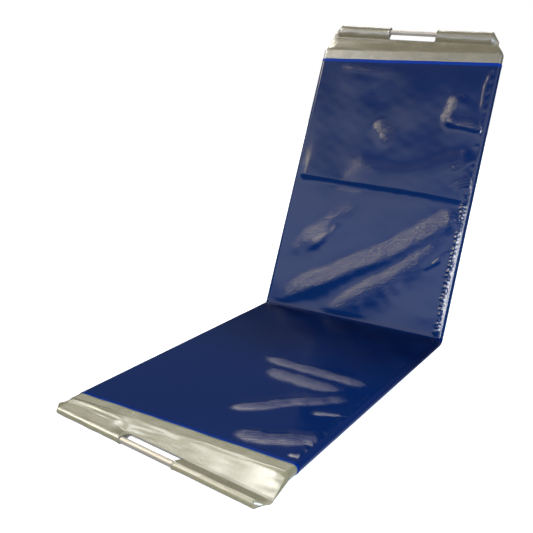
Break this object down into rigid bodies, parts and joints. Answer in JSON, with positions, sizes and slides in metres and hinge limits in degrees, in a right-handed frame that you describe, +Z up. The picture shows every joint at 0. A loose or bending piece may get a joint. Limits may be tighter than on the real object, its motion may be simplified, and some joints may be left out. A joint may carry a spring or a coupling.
{
  "type": "folding lateral transfer board",
  "caption": "Folding patient transfer board with two padded halves in a sliding film sleeve and cloth end flaps that hold bare grip rods.",
  "frame": {"origin": "middle of the lower half's underside, on the surface the board lies on", "axes": "+Z up, square to the lower half; +Y along the lower half towards the fold; +X to the right, seen from the lower half's open end"},
  "size_m": [0.5738, 1.2638, 0.8282],
  "materials": {
    "sleeve_film": "glossy coated film",
    "sleeve_hem": "satin coated fabric",
    "liner_fabric": "silver-khaki coated fabric with a soft sheen",
    "core_foam": "closed-cell foam",
    "core_skin": "smooth sheet",
    "rod_aluminium": "drawn tube",
    "rod_plug": "moulded"
  },
  "bodies": {
    "lower_half": {"lower_core_foam": "core_foam", "lower_core_top_skin": "core_skin", "lower_core_bottom_skin": "core_skin", "lower_liner": "liner_fabric", "lower_sleeve": "sleeve_film", "lower_sleeve_hem": "sleeve_hem", "lower_liner_shoulder": "liner_fabric", "sleeve_fold": "sleeve_film", "liner_fold": "liner_fabric"},
    "upper_half": {"upper_core_foam": "core_foam", "upper_core_top_skin": "core_skin", "upper_core_bottom_skin": "core_skin", "upper_liner": "liner_fabric", "upper_sleeve": "sleeve_film", "upper_sleeve_hem": "sleeve_hem", "upper_liner_shoulder": "liner_fabric"},
    "lower_end_flap": {"lower_flap": "liner_fabric", "lower_rod_pocket_left": "liner_fabric", "lower_rod_pocket_right": "liner_fabric"},
    "lower_rod": {"lower_grip_rod": "rod_aluminium", "lower_rod_plug_left": "rod_plug", "lower_rod_plug_right": "rod_plug"},
    "upper_end_flap": {"upper_flap": "liner_fabric", "upper_rod_pocket_left": "liner_fabric", "upper_rod_pocket_right": "liner_fabric"},
    "upper_rod": {"upper_grip_rod": "rod_aluminium", "upper_rod_plug_left": "rod_plug", "upper_rod_plug_right": "rod_plug"}
  },
  "joints": [
    {"name": "fold", "type": "hinge", "parent": "lower_half", "child": "upper_half", "pos_m": [0, 0.384, 0.0241], "axis": [1, 0, 0], "range_deg": [-66.9, 113.1], "deforming": ["sleeve_fold", "liner_fold"]},
    {"name": "lower_flap_bend", "type": "hinge", "parent": "lower_half", "child": "lower_end_flap", "pos_m": [0, -0.411, 0.0118], "axis": [1, 0, 0], "range_deg": [-46.8, 43.2], "stiffness_Nm_per_rad": 2, "deforming": ["lower_liner_shoulder"]},
    {"name": "upper_flap_bend", "type": "hinge", "parent": "upper_half", "child": "upper_end_flap", "pos_m": [0, 0.70722, 0.75053], "axis": [1, 0, 0], "range_deg": [-45, 45], "stiffness_Nm_per_rad": 2, "deforming": ["upper_liner_shoulder"]},
    {"name": "lower_rod_turn", "type": "hinge", "parent": "lower_end_flap", "child": "lower_rod", "pos_m": [0, -0.48196, 0.00954], "axis": [0.9936, -0.1131, -0.0036], "continuous": true},
    {"name": "upper_rod_turn", "type": "hinge", "parent": "upper_end_flap", "child": "upper_rod", "pos_m": [0, 0.73115, 0.80664], "axis": [0.9993, -0.0151, -0.0353], "continuous": true}
  ]
}
